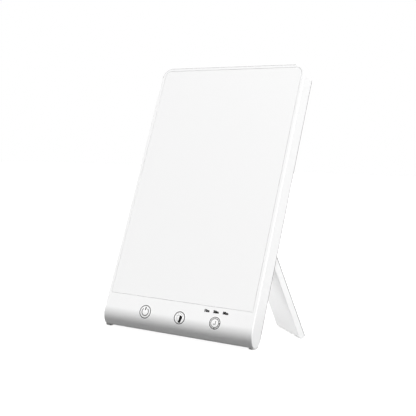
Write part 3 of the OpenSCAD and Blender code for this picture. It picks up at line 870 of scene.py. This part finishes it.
@dataclass
class Leg(SubAssembly):
    """The fold-out leg with its cover plate and rubber strip, drawn closed."""

    body: ClassVar[str] = "leg"
    place: ClassVar[Matrix] = STANCE.swung
    extra: float = 0.8
    # Width and reach of the grey line of painted shade along the leg's right edge
    line: float = 0.65
    line_reach: float = 1.8
    toe: Pair = (-6.0, 7.3)
    trim: float = 1.2
    screw_cross: float = 1.1
    core: float = 0.6
    pin_room: float = 1.5

    @property
    def outside(self) -> float:
        """Depth of the closed leg's outer face."""
        return STANCE.depth + STANCE.leg_gap + STANCE.leg_thick + self.extra

    def fit(self, solid: str, point: Vector) -> None:
        """Thicken the leg: its outer half moves outwards, but not round the hinge pin.

        Args:
            solid: Name of the solid.
            point: A point of its copy, which is moved.
        """
        across = Vector((1, 0, 1)).normalized()
        off_line = math.hypot((point - STANCE.pivot).dot(across), point.y - STANCE.hinge_y)
        if point.y > STANCE.hinge_y + self.core and off_line > self.pin_room:
            point.y += self.extra

    def corner(self) -> BMesh:
        """Shape the corner of the heel, which carries the leg's right edge on to the back cover.

        Returns:
            The closed leg's mesh in panel millimetres.
        """
        half = STANCE.leg_thick / 2
        turn = math.radians(STANCE.open_angle)
        stop = half + STANCE.leg_gap - 0.1
        back, middle = (stop + half * math.cos(turn)) / math.sin(turn), stop / math.sin(turn)
        profile = [(self.trim + 0.3, -half), (self.trim + 0.3, half), (-back, half), (-middle, 0.0)]
        profile += [(-half * math.cos(a), -half * math.sin(a))
                    for a in (math.radians(step) for step in range(10, 91, 10))]
        along, down = Vector((-1, 0, 1)).normalized(), Vector((-1, 0, -1)).normalized()
        bm = bmesh.new()
        start = STANCE.pivot + along * self.toe[0]
        points = [start + down * u + Vector((0, v, 0)) for u, v in profile]
        sheet = bm.faces.new([bm.verts.new(point) for point in points])
        grow(bm, [sheet], along * (self.toe[1] - self.toe[0]), keep=True)
        face_out(bm)
        bmesh.ops.contextual_create(bm, geom=slice_at(bm, STANCE.pivot, (1, 0, 0), clear=True))
        for vert in bm.verts:
            self.fit("leg_shell", vert.co)
        face_out(bm)
        return bm

    def edge(self) -> None:
        """Lay a fine grey line of painted shade along the leg's right edge and round its tip, where
        its outline shows dark.
        """

        def on_edge(face: BMFace) -> bool:
            """Say whether a face belongs to the leg's right edge or its tip."""
            return face.calc_center_median().x > STANCE.leg_right - self.line_reach

        span = (self.outside - self.line, self.outside - 0.02)
        for name, bm in (("leg_edge_line", self.copy("leg_shell")),
                         ("leg_corner_line", self.corner())):
            self.publish(edge_line(bm, span, on_edge), name, "strip_rubber", OUTLINE_SHADE_GREY)

    def build(self) -> None:
        """Build every piece of the leg."""
        self.soften("leg_shell", "leg_plate", "housing_white", LEG_ABS, 0.4, 3)
        self.soften("leg_cover", "leg_inlay", "housing_white", LEG_ABS, 0.2)
        self.soften("leg_foot", "leg_grip", "strip_rubber", PALE_RUBBER, 0.2)
        self.screw_heads("leg_screws", self.outside, self.screw_cross)
        self.publish(self.corner(), "leg_heel_corner", "housing_white", LEG_ABS)
        self.edge()


# ---- Printed keys ----


@dataclass
class KeyPrints(SubAssembly):
    """The printed marks on the chin: three touch keys and the timer's labels."""

    power: Pair = (-31.3, 14.9)
    bulb: Pair = (4.8, 14.3)
    timer: Pair = (39.9, 14.5)
    label_z: float = 23.8
    label_x: Place = (29.9, 39.0, 48.1)
    sink: float = 0.02
    fold: float = 0.8

    def face_y(self, z: float) -> float:
        """Depth of the front surface at a height.

        Args:
            z: Height along the panel in millimetres.

        Returns:
            Distance behind the flat front face.
        """
        if z >= STANCE.nose_rise:
            return 0.0
        share = (STANCE.nose_rise - z) / STANCE.nose_rise
        return STANCE.nose * (1 - math.sqrt(1 - share * share))

    def ring(self, bm: BMesh, x: float, z: float, outer: float, width: float, start: float = 0.0,
             sweep: float = 360.0) -> None:
        """Add a flat ring or part of one.

        Args:
            bm: Mesh that gets the ring.
            x: Its middle.
            z: Its middle.
            outer: Outer radius.
            width: Width of the line.
            start: Angle of its start, clockwise from straight up, in degrees.
            sweep: Angle that it covers, in degrees.
        """
        begin = math.radians(start)
        aim = Vector((math.sin(begin), 0, math.cos(begin)))
        ends = [bm.verts.new(Vector((x, 0, z)) + aim * r) for r in (outer - width, outer)]
        line = bm.edges.new(ends)
        whole = sweep >= 360.0
        bmesh.ops.spin(bm, geom=[*ends, line], cent=Vector((x, 0, z)), axis=Vector((0, 1, 0)),
                       dvec=Vector((0, 0, 0)), angle=math.radians(sweep),
                       steps=max(12, round(72 * sweep / 360)), use_merge=whole, use_duplicate=False)

    def stroke(self, bm: BMesh, start: Pair, end: Pair, width: float) -> None:
        """Add a straight line of ink.

        Args:
            bm: Mesh that gets the line.
            start: Its first end.
            end: Its other end.
            width: Its width.
        """
        a, b = Vector((start[0], 0, start[1])), Vector((end[0], 0, end[1]))
        side = (b - a).cross(Vector((0, 1, 0))).normalized() * width / 2
        bm.faces.new([bm.verts.new(p) for p in (a - side, a + side, b + side, b - side)])

    def spoke(self, bm: BMesh, middle: Pair, angle: float, reach: Pair, width: float) -> None:
        """Add a short line of ink that points away from a middle.

        Args:
            bm: Mesh that gets the line.
            middle: The point that it points away from.
            angle: Its angle, clockwise from straight up, in degrees.
            reach: How far from the middle it starts and ends.
            width: Its width.
        """
        x, z = middle
        across, up = math.sin(math.radians(angle)), math.cos(math.radians(angle))
        ends = [(x + r * across, z + r * up) for r in reach]
        self.stroke(bm, ends[0], ends[1], width)

    def print_piece(self, bm: BMesh, name: str, finish: Finish, lift: float = 0.03) -> None:
        """Lay flat ink on the front surface, give it its thickness and publish it.

        Args:
            bm: Flat mesh in the plane of the front face.
            name: Name of the piece.
            finish: Ink of the print.
            lift: Height of the ink's face above the surface.
        """
        face_out(bm)
        bmesh.ops.reverse_faces(bm, faces=[f for f in bm.faces if f.normal.y > 0])
        # Cuts across the ink let it follow the rounded edge
        for step in range(int(STANCE.nose_rise / self.fold)):
            slice_at(bm, (0, 0, STANCE.nose_rise - step * self.fold), (0, 0, 1))
        grow(bm, bm.faces[:], (0, -lift - self.sink, 0))
        for vert in bm.verts:
            vert.co.y += self.sink + self.face_y(vert.co.z)
        face_out(bm)
        self.publish(bm, name, "black_plastic", finish, weighted=False)

    def underprint(self) -> None:
        """Print the white discs that carry the three keys."""
        for name, (x, z), radius in (("power", self.power, 6.9), ("brightness", self.bulb, 6.4),
                                     ("timer", self.timer, 6.2)):
            bm = bmesh.new()
            self.ring(bm, x, z, radius, radius)
            bmesh.ops.remove_doubles(bm, verts=bm.verts[:], dist=0.0001)
            self.print_piece(bm, f"{name}_key_underprint", WHITE_INK, 0.012)

    def power_key(self) -> None:
        """Print the power key: a ring round an open arc and a bar."""
        x, z = self.power
        bm = bmesh.new()
        self.ring(bm, x, z, outer=6.0, width=0.85)
        self.ring(bm, x, z, outer=3.75, width=0.8, start=36, sweep=288)
        self.print_piece(bm, "power_key_print", GREY_INK)
        bar = bmesh.new()
        self.spoke(bar, (x, z), 0, (1.5, 4.3), 0.95)
        self.print_piece(bar, "power_key_bar", BLACK_INK)

    def bulb_key(self) -> None:
        """Print the brightness key: a ring round a half-dark bulb with short rays."""
        x, z = self.bulb
        bm = bmesh.new()
        self.ring(bm, x, z, outer=5.6, width=0.85)
        self.print_piece(bm, "brightness_key_print", GREY_INK)
        dark = bmesh.new()
        half = [(-0.1, 2.1), (0.8, 2.1), (1.7, 1.8), (2.4, 1.2), (2.7, 0.3), (2.5, -0.6),
                (2.1, -1.5), (1.8, -2.4), (1.6, -3.2), (1.4, -3.9), (0.9, -4.2), (-0.8, -4.2),
                (-0.9, -3.2), (-0.4, -2.0)]
        dark.faces.new([dark.verts.new(Vector((x + a, 0, z + b))) for a, b in half])
        self.print_piece(dark, "brightness_key_bulb", BLACK_INK)
        pale = bmesh.new()
        left = [(x - a, z + b) for a, b in half[:9]]
        for start, end in zip(left, left[1:]):
            self.stroke(pale, start, end, 0.4)
        for angle in (-60, -30, 0, 30, 60):
            self.spoke(pale, (x, z + 0.2), angle, (2.9, 3.9), 0.55)
        self.print_piece(pale, "brightness_key_outline", PALE_INK)

    def timer_key(self) -> None:
        """Print the timer key: a double ring with ticks round two clock hands."""
        x, z = self.timer
        bm = bmesh.new()
        self.ring(bm, x, z, outer=5.35, width=0.7)
        self.ring(bm, x, z, outer=4.0, width=0.55)
        self.print_piece(bm, "timer_key_print", GREY_INK)
        marks, dark = bmesh.new(), bmesh.new()
        for hour in range(12):
            bm, width = (dark, 0.9) if hour in (3, 6) else (marks, 0.3)
            self.spoke(bm, (x, z), 30 * hour, (3.5, 4.8), width)
        self.stroke(marks, (x + 0.7, z + 1.9), (x + 0.7, z - 0.9), 0.6)
        self.stroke(marks, (x + 0.9, z - 0.8), (x - 1.5, z - 1.1), 0.6)
        self.print_piece(marks, "timer_key_hands", GREY_INK, 0.034)
        self.print_piece(dark, "timer_key_dots", BLACK_INK, 0.036)

    def labels(self) -> None:
        """Print the three times above the timer key."""
        bm = bmesh.new()
        for text, x in zip(("10m", "20m", "30m"), self.label_x):
            curve = bpy.data.curves.new("timer_label", "FONT")
            curve.body = text
            curve.size = 2.9
            curve.align_x = curve.align_y = "CENTER"
            curve.offset = 0.24
            curve.resolution_u = 3
            thing = stand("timer_label", curve)
            flat = flattened(thing)
            upright = Matrix.Rotation(math.pi / 2, 4, "X")
            flat.transform(Matrix.Translation((x, 0, self.label_z)) @ upright)
            bm.from_mesh(flat)
            bpy.data.objects.remove(thing)
            bpy.data.curves.remove(curve)
            bpy.data.meshes.remove(flat)
        self.print_piece(bm, "timer_labels_print", BLACK_INK)

    def build(self) -> None:
        """Print every key and label."""
        self.underprint()
        self.power_key()
        self.bulb_key()
        self.timer_key()
        self.labels()


# ---- Studio ----


@dataclass
class Studio:
    """Floor, world and the photograph's camera; the lamps come once the pieces are there."""

    floor_size: float = 8.0
    flag_x: float = 0.48
    flag_top: float = 0.239
    lens: float = 66.76121
    shift_x: float = 0.003085
    shift_y: float = -0.000394
    eye: Place = (0.34721324, -0.60442141, 0.16662385)
    right: Place = (0.85947669, 0.51066097, 0.02291718)
    up: Place = (-0.0609192, 0.05781217, 0.99646706)
    back: Place = (0.50753194, -0.85783631, 0.08079728)

    def camera(self) -> None:
        """Place the camera where the photograph was taken from."""
        data = bpy.data.cameras.new("camera")
        data.lens = self.lens
        data.sensor_width = 36.0
        data.shift_x = self.shift_x
        data.shift_y = self.shift_y
        data.clip_start = 0.01
        camera = stand("camera", data)
        turn = Matrix((self.right, self.up, self.back)).transposed().to_4x4()
        camera.matrix_world = Matrix.Translation(Vector(self.eye)) @ turn
        bpy.context.scene.camera = camera

    def softbox(self, name: str, place: Place, aim: Place, size: Pair,
                watts: float) -> bpy.types.Object:
        """Add one rectangular lamp.

        Args:
            name: Name of the lamp.
            place: Where it stands.
            aim: Point that it faces.
            size: Width and height of its face.
            watts: Its power.

        Returns:
            The lamp.
        """
        data = bpy.data.lights.new(name, "AREA")
        data.shape = "RECTANGLE"
        data.size, data.size_y = size
        data.energy = watts
        lamp = stand(name, data)
        aim_at = (Vector(aim) - Vector(place)).to_track_quat("-Z", "Y")
        lamp.matrix_world = Matrix.Translation(Vector(place)) @ aim_at.to_matrix().to_4x4()
        return lamp

    def flag(self) -> None:
        """Stand an unseen black card in the right lamp's beam, off the lower end of the side."""
        bm = bmesh.new()
        x, top = self.flag_x, self.flag_top
        corners = ((x, -0.5, 0), (x, 0.5, 0), (x, 0.5, top), (x, -0.5, top))
        bm.faces.new([bm.verts.new(corner) for corner in corners])
        card = stand("flag", meshed("flag", bm))
        card.visible_camera = card.visible_diffuse = False
        card.visible_glossy = card.visible_transmission = False
        made = bpy.data.materials.new("black_card")
        tree = cleared(made)
        black = node(tree, "ShaderNodeBsdfDiffuse", {"@Color": linear("#050505")}, {})
        node(tree, "ShaderNodeOutputMaterial", {}, {"Surface": black.outputs[0]})
        card.data.materials.append(made)

    def lamps(self) -> None:
        """Light the lamp from above, both sides and behind, as in the photograph's studio."""
        middle = (0.0, 0.0, 0.1)
        behind = (0.05, 0.02, 0.05)
        groups = [bpy.data.collections.new(name) for name in ("lit_but_leg", "lit_leg")]
        for thing in bpy.data.objects:
            if thing.type == "MESH":
                groups[thing.name.startswith("leg_")].objects.link(thing)
        self.softbox("overhead", (0.9, -4.85, 29.5), middle, (9.0, 10.5), 9950.0)
        self.softbox("left_low", (-1.6, 0.0, 0.12), behind, (0.8, 0.2), 12.0)
        self.softbox("rear", (-0.8, 3.0, 1.0), middle, (1.0, 1.0), 50.0)
        # Barn doors keep the lamps on the right off the leg, which has lamps of its own
        for name, place, aim, size, watts, on_leg in (
            ("right_side", (3.0, -0.2, 2.0), (0.0, 0.0, 0.15), (1.0, 1.0), 90.0, False),
            ("right_high", (1.2, 0.1, 1.9), (0.05, 0.0, 0.15), (0.4, 0.4), 11.0, False),
            ("leg_snoot", (-1.6, 0.0, 0.12), behind, (0.8, 0.2), 16.6, True),
            ("leg_edge_snoot", (0.322, -0.27, 0.06), (0.08, 0.02, 0.03), (0.15, 0.15), 1.12, True),
        ):
            lamp = self.softbox(name, place, aim, size, watts)
            lamp.light_linking.receiver_collection = groups[on_leg]
        self.flag()

    def seen(self, tree: bpy.types.NodeTree) -> bpy.types.NodeSocket:
        """Say in a tree whether a ray shows the background as the camera, a gloss or glass does.

        Args:
            tree: Node tree that asks.

        Returns:
            A socket with one for such a ray and zero for any other.
        """
        path = node(tree, "ShaderNodeLightPath", {}, {}).outputs
        found = path["Is Camera Ray"]
        for ray in ("Is Glossy Ray", "Is Transmission Ray"):
            more = node(tree, "ShaderNodeMath", {"operation": "MAXIMUM"}, {0: found, 1: path[ray]})
            found = more.outputs[0]
        return found

    def floor(self) -> None:
        """Lay the pale floor, which the camera sees as white with the lamp's shadow."""
        bm = bmesh.new()
        bmesh.ops.create_grid(bm, x_segments=1, y_segments=1, size=self.floor_size / 2)
        floor = stand("studio_floor", meshed("studio_floor", bm))
        made = bpy.data.materials.new("pale_studio_floor")
        tree = cleared(made)
        dim = node(tree, "ShaderNodeBsdfDiffuse", {"@Color": linear("#6E6E6E")}, {})
        pale = node(tree, "ShaderNodeBsdfDiffuse", {"@Color": linear("#8C8C8C")}, {})
        glow = node(tree, "ShaderNodeEmission", {"@Color": (1, 1, 1, 1), "@Strength": 0.93}, {})
        both = node(tree, "ShaderNodeAddShader", {}, {0: pale.outputs[0], 1: glow.outputs[0]})
        mix = node(tree, "ShaderNodeMixShader", {},
                   {0: self.seen(tree), 1: dim.outputs[0], 2: both.outputs[0]})
        node(tree, "ShaderNodeOutputMaterial", {}, {"Surface": mix.outputs[0]})
        floor.data.materials.append(made)

    def world(self) -> None:
        """Set a soft white world, which the camera sees as a white backdrop."""
        world = bpy.data.worlds.new("studio_world")
        tree = cleared(world)
        soft = node(tree, "ShaderNodeBackground", {"@Color": (1, 1, 1, 1), "@Strength": 0.12}, {})
        white = node(tree, "ShaderNodeBackground", {"@Color": (1, 1, 1, 1), "@Strength": 1.0}, {})
        mix = node(tree, "ShaderNodeMixShader", {},
                   {0: self.seen(tree), 1: soft.outputs[0], 2: white.outputs[0]})
        node(tree, "ShaderNodeOutputWorld", {}, {"Surface": mix.outputs[0]})
        bpy.context.scene.world = world
        bpy.context.scene.view_settings.view_transform = "Standard"

    def build(self) -> None:
        """Set up all but the lamps."""
        self.camera()
        self.floor()
        self.world()


def dress_solids(shop: FinishShop) -> None:
    """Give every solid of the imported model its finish.

    Args:
        shop: Where the materials are made.
    """
    for name, solid in sorted(frame["nodes"].items()):
        solid.data.materials.clear()
        solid.data.materials.append(shop.material(NODE_FINISH[name]))
        LOG.info("solid %s: %s", name, NODE_FINISH[name].name)


def main() -> None:
    """Build the lamp and its studio in order."""
    logging.basicConfig(level=logging.INFO, format="%(name)s: %(message)s")
    shop = FinishShop()
    studio = Studio()
    studio.build()
    dress_solids(shop)
    Housing(shop).build()
    Leg(shop).build()
    KeyPrints(shop).build()
    studio.lamps()


if __name__ == "__main__":
    main()
